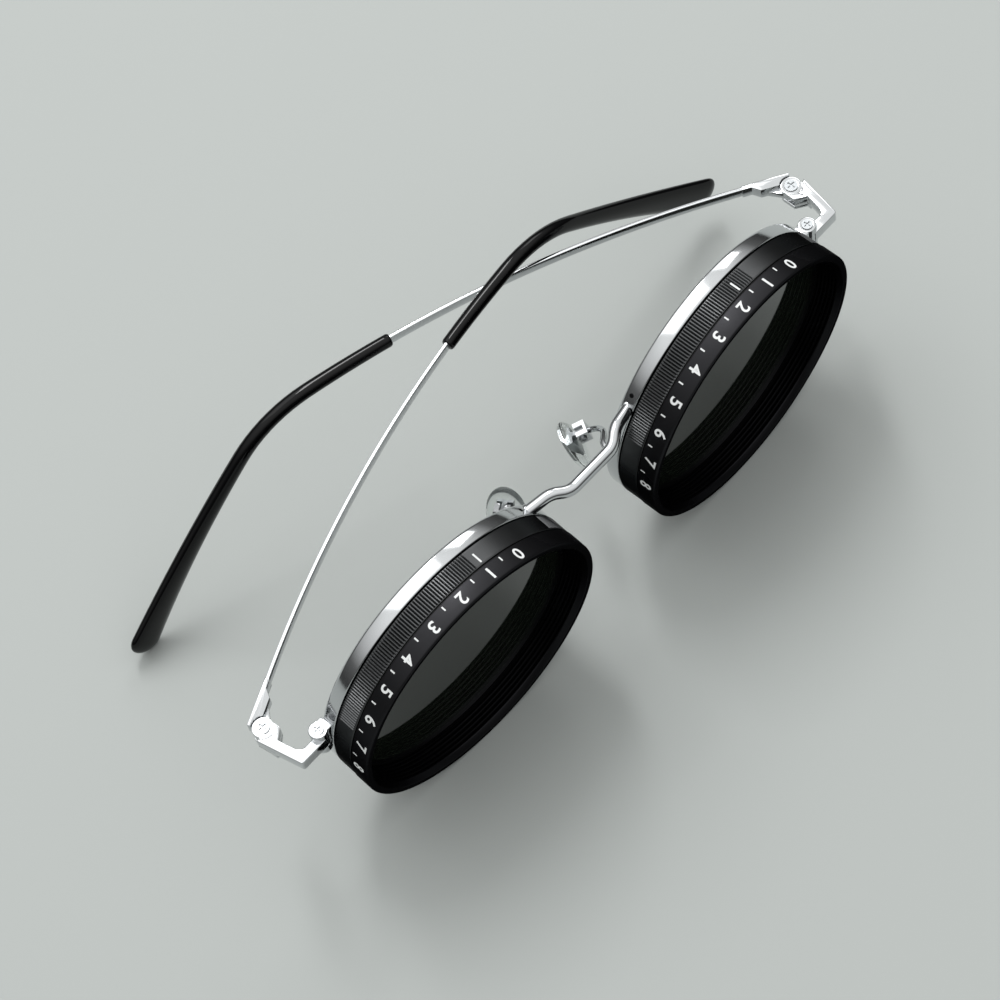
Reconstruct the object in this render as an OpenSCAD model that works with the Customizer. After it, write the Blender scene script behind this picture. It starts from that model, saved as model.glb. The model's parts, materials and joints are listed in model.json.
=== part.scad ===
// Adjustable tint sunglasses: two variable density filters on a round metal frame,
// standing on a flat surface with the temples folded.
// Frame of the model: +X to the wearer's left, the lenses face -Y, +Z up, z = 0 is the
// surface. Left and right are the wearer's.

/* [Lens positions] */
// Half the distance between the two lens centres
lens_offset = 34.1; // [33:0.1:36]
// Angle by which each lens turns back towards its temple
lens_wrap = 2.2; // [0:0.1:4]
// Forward lean of the lenses against the hinge pins
lens_tilt = 4.7; // [3:0.1:7]
// Forward lean of the hinge pins on the surface
stand_tilt = 1.1; // [1:0.1:1.2]

/* [Front ring] */
// Depth of the front ring's outer band
front_ring_t = 3.6; // [3.4:0.1:4]
// Radius of the accessory thread bore in front, which drives every other radius
thread_r = 24.5; // [24.4:0.05:24.6]
// Wall of the turning front ring outside the thread
ring_wall = 2; // [1.8:0.1:2.4]
// Length of the accessory thread bore
thread_len = 3.8; // [3:0.1:3.9]
// Depth of the lead-in chamfer ahead of the thread
lead_in = 0.9; // [0.5:0.1:1]
// Width of the rounded front edge
edge_round = 0.4; // [0.2:0.05:0.6]

/* [Polarising glasses] */
// Thickness of each polarising glass
glass_t = 1.2; // [0.8:0.1:1.3]
// How much smaller the front glass's radius is than the thread's
front_glass_step = 0.35; // [0.3:0.05:0.45]
// How much smaller the rear glass's radius is than the front glass's
rear_glass_step = 0.4; // [0.3:0.05:0.6]
// Thickness of the retaining rings
retainer_t = 0.6; // [0.4:0.1:0.7]
// Radial width of the retaining rings
retainer_w = 0.6; // [0.4:0.1:0.9]
// Radial width of the flange that each glass seats on
flange_w = 0.75; // [0.4:0.05:0.9]
// Thickness of the front ring's glass flange
flange_t = 0.5; // [0.4:0.1:0.6]

/* [Rear ring] */
// Depth of the knurled rear ring
rear_ring_t = 3.75; // [3.6:0.05:4.2]
// Running gap seen between the two rings
ring_gap = 0.25; // [0.2:0.05:0.3]
// How much smaller the rear ring's radius is
rear_ring_step = 0.1; // [0:0.05:0.2]
// Radius of the socket that the neck runs in, beyond the thread's
socket_wall = 1.1; // [1:0.05:1.15]
// Length of the male thread that holds the filter in the rim
male_len = 2.8; // [2:0.1:3]
// Width of the snap ring, along the lens axis
snap_w = 0.5; // [0.4:0.05:0.6]

/* [Rim] */
// Width of the rim band, along the lens axis
rim_w = 2.8; // [2.4:0.1:3.4]
// Wall of the rim band
rim_wall = 2.1; // [1.7:0.1:2.3]
// Gap between the rear ring and the rim
rim_gap = 0.3; // [0.1:0.05:0.5]
// Radius of the small sight hole drilled in the rim
sight_r = 0.35; // [0.3:0.05:0.6]
// Place of the sight hole round the lens, from the wearer's left
sight_turn = 140; // [130:1:150]

/* [Rim lock] */
// Radius of the rim lock's barrel
lock_r = 1.6; // [1.4:0.1:1.8]
// Height of the rim lock's top above the lens centres
lock_top = 8.4; // [8:0.1:9]
// Length of the barrel's lower half
lock_low = 1.9; // [1.6:0.1:2.2]
// Width of the rim's split
split_w = 0.2; // [0.1:0.05:0.3]

/* [Endpiece] */
// Plan thickness of the endpiece bar
bar_t = 1.8; // [1.6:0.1:2]
// Height of the endpiece bar
bar_h = 2.4; // [2.2:0.1:2.6]
// Height of the bar's centre above the lens centres
bar_z = 5.9; // [5.6:0.1:6.1]
// Distance of the endpiece's outer corner outboard of the rim lock
corner_out = 5.65; // [5.2:0.05:6]
// Distance of the endpiece's front face behind the lens fronts
corner_y = 8.3; // [8.1:0.1:8.6]

/* [Hinge] */
// Distance of the hinge pin inboard of the endpiece's corner
hinge_in = 0.55; // [0.3:0.05:0.7]
// Distance of the hinge pin behind the lens fronts
hinge_y = 18; // [17.6:0.1:18.6]
// Height of the hinge's centre above the lens centres
hinge_z = 5.3; // [5.1:0.1:5.4]
// Radius of the hinge eyes
eye_r = 1.85; // [1.7:0.05:2]
// Thickness of the temple's tongue
tongue_t = 1.3; // [1.1:0.05:1.5]
// Thickness of each fork plate
fork_t = 0.9; // [0.8:0.05:1]
// Radius of the hinge screw's shank
hinge_screw_r = 0.6; // [0.5:0.05:0.7]
// Distance of the temple's outer face from the hinge pin
butt_out = 2.5; // [2.4:0.05:2.7]

/* [Temples] */
// Angle of the right temple to the front, folded
right_fold = 24; // [23.8:0.1:24.4]
// Angle of the left temple to the front, folded
left_fold = 32.6; // [32.3:0.1:33]
// Rise of the right temple, which lies on top
right_rise = 3.7; // [3.6:0.1:3.9]
// Rise of the left temple, which lies below
left_rise = 1.2; // [1.1:0.1:1.3]
// Radius of the bow that the temple follows round the head
bow_r = 235; // [230:1:240]
// Thickness of the temple band
band_t = 0.7; // [0.6:0.1:1]
// Height of the temple band
band_h = 2; // [1.6:0.1:2.1]
// Length of the temple along its middle
temple_len = 150.5; // [149:0.5:152]
// Length from the hinge to the ear tip's start
tip_start = 74.7; // [72:0.1:77]
// Length from the hinge to the start of the ear hook
hook_start = 91.8; // [90:0.1:93]
// Radius of the ear hook's bend
hook_r = 22; // [20:0.5:25]
// Angle of the ear hook
hook_angle = 43; // [42:0.1:44]
// Height of the ear tip at its start
tip_h = 2.6; // [2.4:0.1:2.8]
// Height of the ear tip at its end
paddle_h = 8; // [7:0.1:8.4]
// Thickness of the ear tip
tip_t = 2.6; // [2.4:0.1:2.8]

/* [Bridge] */
// Radius of the bridge bar
bridge_r = 1.1; // [0.9:0.05:1.2]
// Half length of the bridge bar's straight middle
bridge_half = 5.4; // [5:0.1:5.8]
// Distance of the bridge bar behind the lens fronts
bridge_y = 4.1; // [3.8:0.1:4.4]
// Height of the bridge bar above the lens centres
bridge_z = 15.3; // [15:0.1:15.6]
// Length of the bridge's knees, sideways
knee_out = 2.4; // [2.2:0.1:2.6]
// Run of the bridge's knees to the rear
knee_back = 1.8; // [1.6:0.1:2]
// Rise of the bridge's knees
knee_up = 0.9; // [0.7:0.1:1.1]
// Distance of the bridge's ends behind its middle
seat_back = 3.3; // [3.1:0.1:3.5]

/* [Nose pads] */
// Distance of a pad's centre from the middle
pad_x = 8.6; // [8.3:0.1:8.9]
// Distance of a pad's centre behind the lens fronts
pad_y = 18.5; // [18.2:0.1:18.8]
// Height of a pad's centre against the lens centres
pad_z = -4.8; // [-5.1:0.1:-4.5]
// Length of a silicone pad
pad_len = 13.5; // [13:0.1:14.5]
// Width of a silicone pad
pad_w = 7.4; // [7:0.1:7.8]
// Thickness of a silicone pad
pad_t = 2.6; // [2.4:0.1:2.8]
// Angle of the pads to the middle plane, in plan
pad_splay = 30; // [27:1:33]
// Angle by which the pads' lower ends spread apart
pad_flare = 15; // [12:1:18]
// Height of the pad's screw above the middle of the silicone
pad_drop = 3; // [2.6:0.1:3.4]
// Radius of the pad arm's wire
arm_r = 0.55; // [0.45:0.05:0.6]
// Radius of the pad screw's shank
pad_screw_r = 0.4; // [0.35:0.05:0.45]

/* [Hidden] */
$fn = 96;
// Radial running clearance of a fit between moving pieces
run = 0.05;
// Clearance between pieces that are screwed or set together
fit = 0.02;
// Gap that keeps a screwed-in accessory off the front retaining ring
seat_gap = 0.15;
// Small overshoot of a cut past a face
eps = 0.05;

// Radii of the filters and the rims, all carried by the thread's
ring_r = thread_r + ring_wall;
front_glass_r = thread_r - front_glass_step;
rear_glass_r = front_glass_r - rear_glass_step;
socket_r = thread_r + socket_wall;
rim_bore_r = thread_r - 0.3;
rim_r = rim_bore_r + rim_wall;

// Stations along a lens axis, from the front face at 0 towards the eye
thread_end = -lead_in - thread_len;
front_glass_h = thread_end - seat_gap - retainer_t;
front_flange_h = front_glass_h - glass_t;
neck_end = front_flange_h - flange_t;
rear_ring_h = -front_ring_t - ring_gap;
rear_ring_back = rear_ring_h - rear_ring_t;
socket_floor = neck_end - 0.15;
rear_seat_h = socket_floor - 0.05;
rear_glass_h = rear_seat_h - retainer_t;
rear_flange_h = rear_glass_h - glass_t;
rim_h = rear_ring_back - rim_gap;
lock_x = lens_offset + rim_r + 0.65;
corner_x = lock_x + corner_out;
hinge_x = corner_x - hinge_in;
male_end = rear_ring_back - male_len;
snap_h = rear_ring_h - 0.7;
rear_ring_r = ring_r - rear_ring_step;
male_r = rim_bore_r - run;
neck_r = socket_r - run;

// Temple: height of the band above the hinge's centre, start of the bow, sweep of the tip
band_z = 0.65;
bow_start = 8;
core_end = hook_start - 2;
tip_rings = 36;
tip_sides = 16;

// Stand: the front rings' lower edges and the left ear tip touch z = 0
lean = lens_tilt + stand_tilt;
stand_z = ring_r * cos(lean) - edge_round * sin(lean);
left_path = [for (p = tip_path()) hinge_point(p, left_fold, left_rise)];
deepest = max([for (p = left_path) p.y]) + tip_t / 2;
front_most = -ring_r * sin(lean) - 0.1;
stand_y = -(deepest * cos(stand_tilt) + front_most) / 2;

module stand() {
    translate([0, stand_y, stand_z]) rotate([stand_tilt, 0, 0]) children();
}

// The pieces are drawn for the wearer's left, +X, and mirrored for the right
module side(s) {
    if (s < 0) mirror([1, 0, 0]) children();
    else children();
}

// Puts a lens stack, turned about its own Z with +Z forward, in its place
module at_lens() {
    rotate([lens_tilt, 0, 0]) translate([lens_offset, 0, 0])
        rotate([0, 0, lens_wrap]) rotate([90, 0, 0]) children();
}

// Puts a piece at the hinge pin, +X along the folded temple and +Y outboard
module at_hinge(fold) {
    translate([hinge_x, hinge_y, hinge_z]) mirror([1, 0, 0]) rotate([0, 0, fold]) children();
}

// Round rod with round ends from a to b
module rod(a, b, r) {
    d = b - a;
    translate(a) rotate([0, acos(d.z / norm(d)), atan2(d.y, d.x)]) cylinder(r = r, h = norm(d));
    translate(b) sphere(r = r);
}

module rods(points, r) {
    translate(points[0]) sphere(r = r);
    for (i = [1 : len(points) - 1]) rod(points[i - 1], points[i], r);
}

// Cross recess of a small screw, cut into a head whose top is at z = 0
module cross_recess(head_r) {
    for (a = [0, 90]) rotate([0, 0, a])
        translate([-head_r * 0.65, -head_r * 0.14, -0.2]) cube([head_r * 1.3, head_r * 0.28, 0.3]);
}

// Filters
module front_ring() {
    groove_top = snap_h + 0.1;
    groove_bottom = snap_h - snap_w - 0.1;
    color("#1b1b1d") at_lens() rotate_extrude() polygon([
        [ring_r, -front_ring_t], [ring_r, -edge_round],
        [ring_r - edge_round * 0.3, -edge_round * 0.3], [ring_r - edge_round, 0],
        [thread_r + lead_in, 0], [thread_r, -lead_in], [thread_r, thread_end],
        [front_glass_r + run, thread_end], [front_glass_r + run, front_flange_h],
        [front_glass_r - flange_w, front_flange_h], [front_glass_r - flange_w, neck_end],
        [neck_r, neck_end], [neck_r, groove_bottom], [neck_r - 0.3, groove_bottom],
        [neck_r - 0.3, groove_top], [neck_r, groove_top], [neck_r, -front_ring_t]
    ]);
}

module glass_disc(r, top) {
    translate([0, 0, top - glass_t]) cylinder(r = r, h = glass_t);
}

// Retaining ring with two spanner notches
module retaining_ring(r, bottom) {
    difference() {
        translate([0, 0, bottom]) cylinder(r = r, h = retainer_t);
        translate([0, 0, bottom - eps]) cylinder(r = r - retainer_w, h = retainer_t + 2 * eps);
        for (x = [-1, 1]) translate([x * (r - retainer_w / 2) - 0.5, -0.4, bottom + retainer_t / 2])
            cube([1, 0.8, retainer_t]);
    }
}

module front_polariser() {
    color([0.16, 0.20, 0.18, 0.6]) at_lens() glass_disc(front_glass_r, front_glass_h);
}

module front_retainer() {
    color("#141415") at_lens() retaining_ring(front_glass_r, front_glass_h);
}

module rear_ring() {
    groove_top = snap_h + 0.05;
    groove_bottom = snap_h - snap_w - 0.05;
    color("#1b1b1d") at_lens() rotate_extrude() polygon([
        [socket_r, rear_ring_h], [rear_ring_r - 0.15, rear_ring_h],
        [rear_ring_r, rear_ring_h - 0.15], [rear_ring_r, rear_ring_back + 0.15],
        [rear_ring_r - 0.15, rear_ring_back], [male_r, rear_ring_back], [male_r, male_end],
        [rear_glass_r - flange_w, male_end], [rear_glass_r - flange_w, rear_flange_h],
        [rear_glass_r + fit, rear_flange_h], [rear_glass_r + fit, socket_floor],
        [socket_r, socket_floor], [socket_r, groove_bottom], [socket_r + 0.35, groove_bottom],
        [socket_r + 0.35, groove_top], [socket_r, groove_top]
    ]);
}

module rear_polariser() {
    color([0.20, 0.23, 0.20, 0.6]) at_lens() glass_disc(rear_glass_r, rear_glass_h);
}

module rear_retainer() {
    color("#141415") at_lens() retaining_ring(rear_glass_r, rear_glass_h);
}

// Thin slip washer on the rear ring's front face
module glide_ring() {
    color("#2c2c2e") at_lens() difference() {
        translate([0, 0, rear_ring_h]) cylinder(r = rear_ring_r - 0.3, h = ring_gap - 0.1);
        translate([0, 0, rear_ring_h - eps]) cylinder(r = socket_r, h = ring_gap);
    }
}

// Open spring ring that holds the front ring's neck in the rear ring
module snap_ring() {
    color("#8c8c8c") at_lens() difference() {
        translate([0, 0, snap_h - snap_w]) cylinder(r = socket_r + 0.3, h = snap_w);
        translate([0, 0, snap_h - snap_w - eps]) cylinder(r = neck_r - 0.25, h = snap_w + 2 * eps);
        translate([-1.5, -ring_r, snap_h - snap_w - eps]) cube([3, 4, snap_w + 2 * eps]);
    }
}

// Metal frame
module rim_solid(r) {
    translate([0, 0, rim_h - rim_w]) cylinder(r = r, h = rim_w);
}

split_z = bar_z - bar_h / 2 - split_w;

// Flat cut at the rim's split, level with the hinge
module split_cut() {
    from_x = lens_offset + rim_bore_r - 2;
    translate([from_x, 0, split_z])
        cube([lock_x + lock_r + 1 - from_x, lock_y + 4 * lock_r, split_w]);
}

module rim(sight_angle) {
    color("#c9ccd0") difference() {
        at_lens() difference() {
            rim_solid(rim_r);
            translate([0, 0, rim_h - rim_w - eps]) cylinder(r = rim_bore_r, h = rim_w + 2 * eps);
            rotate([0, 0, sight_angle]) translate([0, 0, rim_h - rim_w / 2])
                rotate([0, 90, 0]) cylinder(r = sight_r, h = ring_r + 2, $fn = 24);
        }
        split_cut();
    }
}

// Room that the rim and filter need, cut out of what is soldered on
module rim_room() {
    at_lens() {
        translate([0, 0, rim_h - rim_w]) cylinder(r = rim_r, h = rim_w);
        translate([0, 0, rim_h - eps]) cylinder(r = ring_r + 0.1, h = 5);
    }
}

lock_y = corner_y + lock_r + 0.1;

module lock_barrel() {
    low = split_z - lock_low;
    translate([lock_x, lock_y, low]) cylinder(r = lock_r, h = lock_top - low, $fn = 48);
}

// Barrel and the foot that it is soldered to the rim with
module lock_solid() {
    low = split_z - lock_low;
    foot_w = lock_r * 1.1;
    difference() {
        union() {
            lock_barrel();
            translate([lock_x - lock_r - 1, lock_y - foot_w / 2, low])
                cube([lock_r + 1, foot_w, bar_z + bar_h / 2 - low]);
        }
        rim_room();
        split_cut();
    }
}

module rim_lock() {
    color("#cfd2d6") difference() {
        lock_solid();
        translate([lock_x, lock_y, split_z - lock_low - 1])
            cylinder(r = pin_bore_r, h = lock_top - split_z + lock_low + 2, $fn = 24);
        translate([lock_x, lock_y, lock_top - 0.3])
            cylinder(r = lock_r * 0.62 + fit, h = 1, $fn = 32);
    }
}

lock_screw_r = 0.55;
pin_bore_r = lock_screw_r + fit;

module rim_lock_screw() {
    head = lock_r * 0.62;
    color("#dfe1e4") translate([lock_x, lock_y, lock_top + 0.15]) difference() {
        union() {
            translate([0, 0, -0.45]) cylinder(r = head, h = 0.45, $fn = 32);
            translate([0, 0, -(lock_top - split_z + lock_low)])
                cylinder(r = lock_screw_r, h = lock_top - split_z + lock_low, $fn = 24);
        }
        cross_recess(head);
    }
}

// Endpiece bar: out from the rim, round the corner and back to the hinge
butt_y = hinge_y - 0.95;
flare_y = hinge_y - 3.6;
// Outer and inner faces of the bar, at a distance y behind the lens fronts
bar_splay = (hinge_x + butt_out - 0.1 - corner_x) / (butt_y - corner_y);
function bar_outer(y) = corner_x + (y - corner_y) * bar_splay;
function bar_inner(y) = bar_outer(y) - bar_t * 1.02;

module bar_solid() {
    back = corner_y + bar_t;
    translate([0, 0, bar_z - bar_h / 2]) linear_extrude(bar_h) polygon([
        [lock_x, corner_y], [corner_x, corner_y], [bar_outer(butt_y), butt_y],
        [hinge_x - eye_r * 0.6, butt_y], [bar_inner(flare_y), flare_y],
        [bar_inner(back + 0.9), back + 0.9], [bar_inner(back + 0.3) - 0.3, back + 0.25],
        [bar_inner(back) - 0.9, back], [lock_x, back]
    ]);
}

fork_h = tongue_t + 2 * run + 2 * fork_t;

module endpiece() {
    slot_h = tongue_t + 2 * run;
    color("#c9ccd0") difference() {
        union() {
            difference() {
                bar_solid();
                lock_barrel();
                // room for the temple's outer wedge as it swings
                translate([hinge_x, hinge_y, hinge_z - 5]) cylinder(r = eye_r + 0.2, h = 10, $fn = 48);
            }
            translate([hinge_x, hinge_y, hinge_z - fork_h / 2])
                cylinder(r = eye_r, h = fork_h, $fn = 48);
            translate([0, 0, hinge_z - fork_h / 2]) linear_extrude(fork_h) polygon([
                [hinge_x - eye_r, hinge_y], [hinge_x - eye_r, hinge_y - 2.2],
                [bar_inner(flare_y), flare_y], [bar_inner(flare_y - 0.8), flare_y - 0.8],
                [bar_outer(flare_y - 0.8), flare_y - 0.8], [bar_outer(butt_y) - 0.7, butt_y - 0.2],
                [hinge_x + eye_r * 0.8, butt_y], [hinge_x, hinge_y]
            ]);
        }
        translate([hinge_x, hinge_y, hinge_z - slot_h / 2])
            cylinder(r = eye_r + 0.25, h = slot_h, $fn = 48);
        translate([hinge_x, hinge_y, hinge_z - slot_h / 2]) mirror([1, 0, 0]) rotate([0, 0, -20])
            cube([6, 6, slot_h]);
        translate([hinge_x, hinge_y, hinge_z - 5])
            cylinder(r = hinge_screw_r + fit, h = 10, $fn = 32);
        translate([hinge_x, hinge_y, hinge_z + fork_h / 2 - 0.35])
            cylinder(r = hinge_screw_r * 2 + fit, h = 2, $fn = 32);
    }
}

module hinge_screw() {
    head = hinge_screw_r * 2;
    top = fork_h / 2 + 0.15;
    color("#dfe1e4") translate([hinge_x, hinge_y, hinge_z]) difference() {
        union() {
            translate([0, 0, top - 0.5]) cylinder(r = head, h = 0.5, $fn = 32);
            translate([0, 0, -fork_h / 2]) cylinder(r = hinge_screw_r, h = fork_h, $fn = 32);
        }
        translate([0, 0, top]) cross_recess(head);
    }
}

// Bridge: a straight middle, two knees and two ends on the rims
module bridge() {
    middle = [bridge_half, bridge_y, bridge_z];
    rim_x = lens_offset - sqrt(pow(rim_r, 2) - pow(bridge_z, 2));
    seat = [rim_x + 0.9, bridge_y + seat_back, bridge_z - knee_up / 3];
    half = [middle, middle + [knee_out, knee_back, knee_up], seat];
    color("#c9ccd0") difference() {
        union() {
            for (s = [-1, 1]) side(s) rods(half, bridge_r);
            rod([-bridge_half, bridge_y, bridge_z], middle, bridge_r);
        }
        for (s = [-1, 1]) side(s) rim_room();
    }
}

// Nose pads
// Puts a piece at the pad's centre: +Z towards the nose, +Y up, +X to the rear
module at_pad() {
    translate([pad_x, pad_y, pad_z]) rotate([0, 0, 90 - pad_splay])
        rotate([90, 0, 0]) rotate([0, 180, 0]) mirror([1, 0, 0]) rotate([pad_flare, 0, 0]) children();
}

// The same place for one point, so that the arm's wire can end in the box
function pad_point(p) =
    let (
        up = p.y * cos(pad_flare) - p.z * sin(pad_flare),
        inward = p.y * sin(pad_flare) + p.z * cos(pad_flare)
    )
    [
        pad_x + p.x * sin(pad_splay) - inward * cos(pad_splay),
        pad_y + p.x * cos(pad_splay) + inward * sin(pad_splay),
        pad_z + up
    ];

box_size = [2.6, 3, 2.1];
box_h = -pad_t / 2 - 0.35;

module pad_box() {
    color("#d6d8db") at_pad() difference() {
        translate([-box_size.x / 2, pad_drop - box_size.y / 2, box_h - box_size.z]) cube(box_size);
        translate([-lug_t / 2 - run, pad_drop - box_size.y / 2 - eps, box_h - box_size.z + 0.5])
            cube([lug_t + 2 * run, box_size.y + 2 * eps, box_size.z]);
        translate([-5, pad_drop, box_h - 0.75]) rotate([0, 90, 0])
            cylinder(r = pad_screw_r + fit, h = 10, $fn = 24);
    }
}

lug_t = 0.8;
lug_w = 1.6;

module pad_screw() {
    color("#dfe1e4") at_pad() translate([-box_size.x / 2 - 0.3, pad_drop, box_h - 0.75]) rotate([0, 90, 0]) {
        difference() {
            cylinder(r = pad_screw_r * 1.8, h = 0.3, $fn = 24);
            mirror([0, 0, 1]) cross_recess(pad_screw_r * 1.8);
        }
        translate([0, 0, 0.3]) cylinder(r = pad_screw_r, h = box_size.x, $fn = 24);
    }
}

// Metal insert inside the silicone, with the lug that the box holds
module plate_solid(grow) {
    translate([-1.4 - grow, -1.2 - grow, -0.35 - grow])
        cube([2.8 + 2 * grow, pad_drop + 2 + 2 * grow, 0.7 + 2 * grow]);
    translate([-lug_t / 2 - grow, pad_drop - lug_w / 2 - grow, box_h - 1.35])
        cube([lug_t + 2 * grow, lug_w + 2 * grow, 1.35 - box_h]);
}

module pad_plate() {
    color("#d6d8db") at_pad() difference() {
        plate_solid(0);
        translate([-5, pad_drop, box_h - 0.75]) rotate([0, 90, 0])
            cylinder(r = pad_screw_r + run, h = 10, $fn = 24);
    }
}

module nose_pad() {
    reach = (pad_len - pad_w) / 2;
    color([0.86, 0.88, 0.88, 0.5]) at_pad() difference() {
        hull() for (y = [-reach, reach]) translate([0, y, 0]) {
            translate([0, 0, -pad_t * 0.2]) cylinder(r = pad_w / 2, h = pad_t * 0.4, $fn = 32);
            translate([0, 0, -pad_t / 2]) cylinder(r = pad_w / 2 - 0.7, h = pad_t, $fn = 32);
        }
        plate_solid(fit);
    }
}

// Pad arm: a wire that leaves the rim, bows outboard and ends on the box
module pad_arm() {
    back = rim_h - rim_w / 2;
    foot = [lens_offset - rim_r + 0.6, -back - 0.5, 3.4];
    color("#c9ccd0") difference() {
        rods([
            foot, foot + [0.5, 2.4, -0.2], foot + [3.1, 4.6, -1.6], foot + [3.5, 6.4, -3],
            pad_point([0, pad_drop, box_h - 1.4])
        ], arm_r, $fn = 24);
        rim_room();
        at_pad() translate([-box_size.x / 2, pad_drop - box_size.y / 2, box_h - box_size.z])
            cube(box_size + [0, 0, 6]);
    }
}

// Temples, drawn from the hinge pin at the origin: +X along, +Y outboard
// Tilts the band and the tip up from the level hinge
module risen(rise) {
    translate([0, 0, band_z]) rotate([0, -rise, 0]) children();
}

// Arc of the bow, carrying a section drawn round the band's middle
module bow_arc(from_s, to_s) {
    turn = 180 / (PI * bow_r);
    translate([bow_start, butt_out - band_t / 2 - bow_r, 0])
        rotate([0, 0, 90 - (to_s - bow_start) * turn])
        rotate_extrude(angle = (to_s - from_s) * turn, $fn = 720) translate([bow_r, 0]) children();
}

module temple(fold, rise) {
    outer = butt_out;
    color("#c9ccd0") at_hinge(fold) difference() {
        union() {
            risen(rise) bow_arc(bow_start, tip_start) square([band_t, band_h], center = true);
            risen(rise) bow_arc(tip_start - 1, core_end) circle(r = band_t / 2, $fn = 24);
            difference() {
                translate([0, 0, band_z - band_h / 2 - 0.2]) linear_extrude(band_h + 0.4) polygon([
                    [-0.35, outer + 0.1], [-0.35, 1.2], [2, 0.6], [5.2, 0.6],
                    [6.6, outer - band_t - 0.1], [bow_start + 0.3, outer - band_t - 0.1],
                    [bow_start + 0.3, outer + 0.1]
                ]);
                translate([0, 0, -5]) cylinder(r = eye_r + 0.15, h = 10, $fn = 48);
            }
            translate([0, 0, -tongue_t / 2]) cylinder(r = eye_r - 0.1, h = tongue_t, $fn = 48);
            translate([0, 0, -tongue_t / 2]) linear_extrude(tongue_t) polygon([
                [0, -eye_r * 0.8], [4.6, 0.9], [4.6, 1.6], [1.2, outer - 0.5], [0, eye_r * 0.8]
            ]);
        }
        translate([0, 0, -5]) cylinder(r = hinge_screw_r + run, h = 10, $fn = 32);
    }
}

// Ear tip: an oval section swept along the bow and down the hook, wider at its end
function bow_turn(s) = -max(s - bow_start, 0) * 180 / (PI * bow_r);
function hook_turn(s) = min(max((s - hook_start) * 180 / (PI * hook_r), 0), hook_angle);
function heading(s) = [
    cos(hook_turn(s)) * cos(bow_turn(s)), cos(hook_turn(s)) * sin(bow_turn(s)), -sin(hook_turn(s))
];
// Each ring's share of the tip's length, closer together where the end is rounded
function station(i) = i <= tip_rings - 8 ? 0.96 * i / (tip_rings - 8)
    : 0.96 + 0.04 * sin(90 * (i - tip_rings + 8) / 8);
function tip_s(i) = tip_start + station(min(i, tip_rings)) * (temple_len - tip_start);
// Middle of the tip at each ring, stepped along from the end of the band's arc
function tip_path() =
    let (
        a = -bow_turn(tip_start),
        first = [bow_start + bow_r * sin(a), butt_out - band_t / 2 - bow_r * (1 - cos(a)), 0]
    )
    [for (i = 0, p = first; i <= tip_rings;
        p = p + (tip_s(i + 1) - tip_s(i)) * heading((tip_s(i + 1) + tip_s(i)) / 2), i = i + 1) p];
// A point of the temple in the frame of the hinge pins, on the left
function hinge_point(p, fold, rise) =
    let (x = p.x * cos(rise) - p.z * sin(rise), z = p.x * sin(rise) + p.z * cos(rise) + band_z)
    [hinge_x - x * cos(fold) + p.y * sin(fold), hinge_y + x * sin(fold) + p.y * cos(fold), hinge_z + z];

// Section's half height and half thickness, as a share t of the tip's length
function half_h(t) = (tip_h + (paddle_h - tip_h) * t * t * t) / 2 * end_round(t);
function half_t(t) = tip_t / 2 * (0.9 + 0.1 * min(t * 4, 1)) * end_round(t);
function end_round(t) = t > 0.96 ? sqrt(max(1 - pow((t - 0.96) / 0.04, 2), 0.02)) : 1;

function tip_ring(i, path) =
    let (
        t = station(i),
        s = tip_s(i),
        out = [-sin(bow_turn(s)), cos(bow_turn(s)), 0],
        up = cross(heading(s), out)
    )
    [for (k = [0 : tip_sides - 1])
        let (a = 360 * k / tip_sides)
        path[i] + out * half_t(t) * cos(a) + up * half_h(t) * sin(a)];

module ear_tip(fold, rise) {
    path = tip_path();
    points = [for (i = [0 : tip_rings]) each tip_ring(i, path)];
    last = tip_rings * tip_sides;
    faces = concat(
        [[for (k = [0 : tip_sides - 1]) k]],
        [[for (k = [tip_sides - 1 : -1 : 0]) last + k]],
        [for (i = [0 : tip_rings - 1], k = [0 : tip_sides - 1])
            let (b = i * tip_sides, n = (k + 1) % tip_sides)
            [b + k, b + tip_sides + k, b + tip_sides + n, b + n]]
    );
    color("#0c0c0d") at_hinge(fold) risen(rise) polyhedron(points, faces);
}

stand() side(-1) rim(180 - sight_turn);  // right_rim
stand() side(1) rim(sight_turn);  // left_rim
stand() bridge();
stand() side(-1) endpiece();  // right_endpiece
stand() side(1) endpiece();  // left_endpiece
stand() side(-1) rim_lock();  // right_rim_lock
stand() side(1) rim_lock();  // left_rim_lock
stand() side(-1) rim_lock_screw();  // right_rim_lock_screw
stand() side(1) rim_lock_screw();  // left_rim_lock_screw
stand() side(-1) rear_ring();  // right_rear_ring
stand() side(1) rear_ring();  // left_rear_ring
stand() side(-1) rear_polariser();  // right_rear_polariser
stand() side(1) rear_polariser();  // left_rear_polariser
stand() side(-1) rear_retainer();  // right_rear_retainer
stand() side(1) rear_retainer();  // left_rear_retainer
stand() side(-1) glide_ring();  // right_glide_ring
stand() side(1) glide_ring();  // left_glide_ring
stand() side(-1) snap_ring();  // right_snap_ring
stand() side(1) snap_ring();  // left_snap_ring
stand() side(-1) front_ring();  // right_front_ring
stand() side(1) front_ring();  // left_front_ring
stand() side(-1) front_polariser();  // right_front_polariser
stand() side(1) front_polariser();  // left_front_polariser
stand() side(-1) front_retainer();  // right_front_retainer
stand() side(1) front_retainer();  // left_front_retainer
stand() side(-1) pad_arm();  // right_pad_arm
stand() side(1) pad_arm();  // left_pad_arm
stand() side(-1) pad_box();  // right_pad_box
stand() side(1) pad_box();  // left_pad_box
stand() side(-1) pad_screw();  // right_pad_screw
stand() side(1) pad_screw();  // left_pad_screw
stand() side(-1) pad_plate();  // right_pad_plate
stand() side(1) pad_plate();  // left_pad_plate
stand() side(-1) nose_pad();  // right_nose_pad
stand() side(1) nose_pad();  // left_nose_pad
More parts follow.
